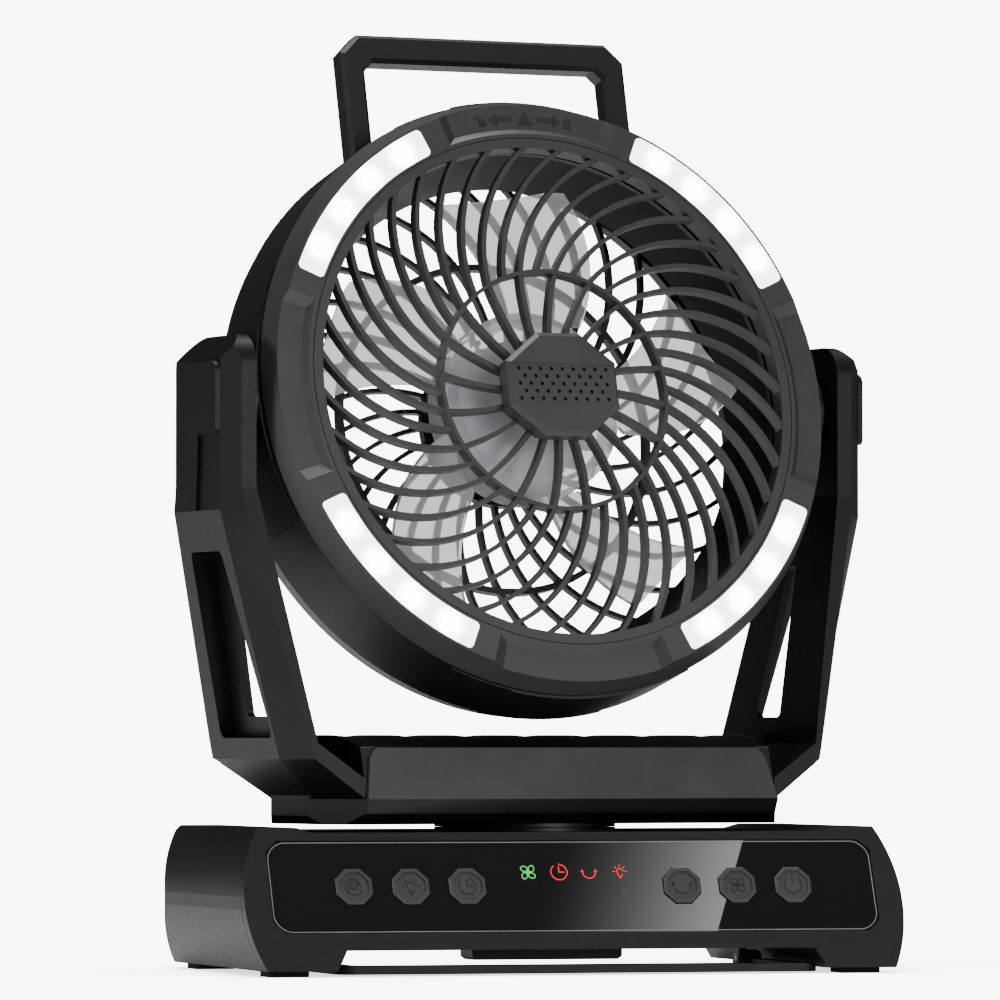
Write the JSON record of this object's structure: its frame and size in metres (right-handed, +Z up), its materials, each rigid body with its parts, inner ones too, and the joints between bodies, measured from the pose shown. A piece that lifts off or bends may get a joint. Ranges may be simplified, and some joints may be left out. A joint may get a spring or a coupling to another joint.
{
  "type": "portable camping fan",
  "caption": "Rechargeable camping fan with lamp strips, turning yoke, tilting head and wide battery base.",
  "frame": {"origin": "middle of the base's outline on the surface it stands on", "axes": "+Z up, -Y towards the control panel, +X to the right seen from the front"},
  "size_m": [0.2712, 0.1468, 0.3535],
  "materials": {
    "housing": "fine satin",
    "trim": "satin",
    "buttons": "satin",
    "panel": "gloss",
    "lens": "frosted",
    "wheel": "translucent satin",
    "rubber": "matt",
    "board": "satin",
    "metal_can": "satin",
    "steel": "brushed"
  },
  "bodies": {
    "base": {"base_shell": "housing", "base_fascia": "trim", "base_bottom_cover": "housing", "base_screws": "steel", "bail_pins": "steel", "rubber_feet": "rubber", "control_panel": "panel", "ir_window": "panel", "control_board": "board", "battery_cells": "metal_can", "rear_port_panel": "housing", "usb_a_port": "steel", "usb_c_port": "steel", "turntable_ring": "housing", "oscillation_motor": "metal_can"},
    "bail": {"hanging_bail": "housing"},
    "yoke": {"turntable_spindle": "housing", "yoke_pan": "housing", "yoke_crossbar": "housing", "yoke_screws": "steel", "yoke_front_plate": "trim", "yoke_arm_right": "housing", "yoke_arm_left": "housing", "arm_cover_right": "trim", "arm_cover_left": "trim", "pivot_washers": "rubber"},
    "head": {"head_housing": "housing", "air_duct": "housing", "head_pivots": "metal_can", "carry_handle": "housing", "rear_grille": "housing", "head_screws": "steel", "fan_motor": "metal_can", "lamp_bezel": "trim", "lamp_boards": "board", "lamp_lens_1": "lens", "lamp_lens_2": "lens", "lamp_lens_3": "lens", "lamp_lens_4": "lens"},
    "front_guard": {"front_grille": "trim", "grille_cap": "trim"},
    "fan_wheel": {"fan_wheel": "wheel", "wheel_shaft": "steel"},
    "button_mode": {"button_mode": "buttons"},
    "button_lamp": {"button_lamp": "buttons"},
    "button_timer": {"button_timer": "buttons"},
    "button_swing": {"button_swing": "buttons"},
    "button_fan": {"button_fan": "buttons"},
    "button_power": {"button_power": "buttons"}
  },
  "joints": [
    {"name": "yoke_turn", "type": "hinge", "parent": "base", "child": "yoke", "pos_m": [0, 0.008, 0.0536], "axis": [0, 0, 1], "range_deg": [-54.38, 35.62]},
    {"name": "head_tilt", "type": "hinge", "parent": "yoke", "child": "head", "pos_m": [0, 0.008, 0.2108], "axis": [-0.9866, -0.163, 0], "range_deg": [-103.72, 76.28]},
    {"name": "guard_twist", "type": "hinge", "parent": "head", "child": "front_guard", "pos_m": [0, 0.008, 0.2108], "axis": [0.1583, -0.9585, 0.2372], "range_deg": [0, 12]},
    {"name": "wheel_spin", "type": "hinge", "parent": "head", "child": "fan_wheel", "pos_m": [0, 0.008, 0.2108], "axis": [0.1583, -0.9585, 0.2372], "continuous": true},
    {"name": "bail_swing", "type": "hinge", "parent": "base", "child": "bail", "pos_m": [0, 0, 0.004], "axis": [1, 0, 0], "range_deg": [0, 90]},
    {"name": "press_mode", "type": "slide", "parent": "base", "child": "button_mode", "axis": [0, 0.9107, -0.4131], "range_m": [0, 0.0012], "stiffness_N_per_m": 400},
    {"name": "press_lamp", "type": "slide", "parent": "base", "child": "button_lamp", "axis": [0, 0.9107, -0.4131], "range_m": [0, 0.0012], "stiffness_N_per_m": 400},
    {"name": "press_timer", "type": "slide", "parent": "base", "child": "button_timer", "axis": [0, 0.9107, -0.4131], "range_m": [0, 0.0012], "stiffness_N_per_m": 400},
    {"name": "press_swing", "type": "slide", "parent": "base", "child": "button_swing", "axis": [0, 0.9107, -0.4131], "range_m": [0, 0.0012], "stiffness_N_per_m": 400},
    {"name": "press_fan", "type": "slide", "parent": "base", "child": "button_fan", "axis": [0, 0.9107, -0.4131], "range_m": [0, 0.0012], "stiffness_N_per_m": 400},
    {"name": "press_power", "type": "slide", "parent": "base", "child": "button_power", "axis": [0, 0.9107, -0.4131], "range_m": [0, 0.0012], "stiffness_N_per_m": 400}
  ]
}
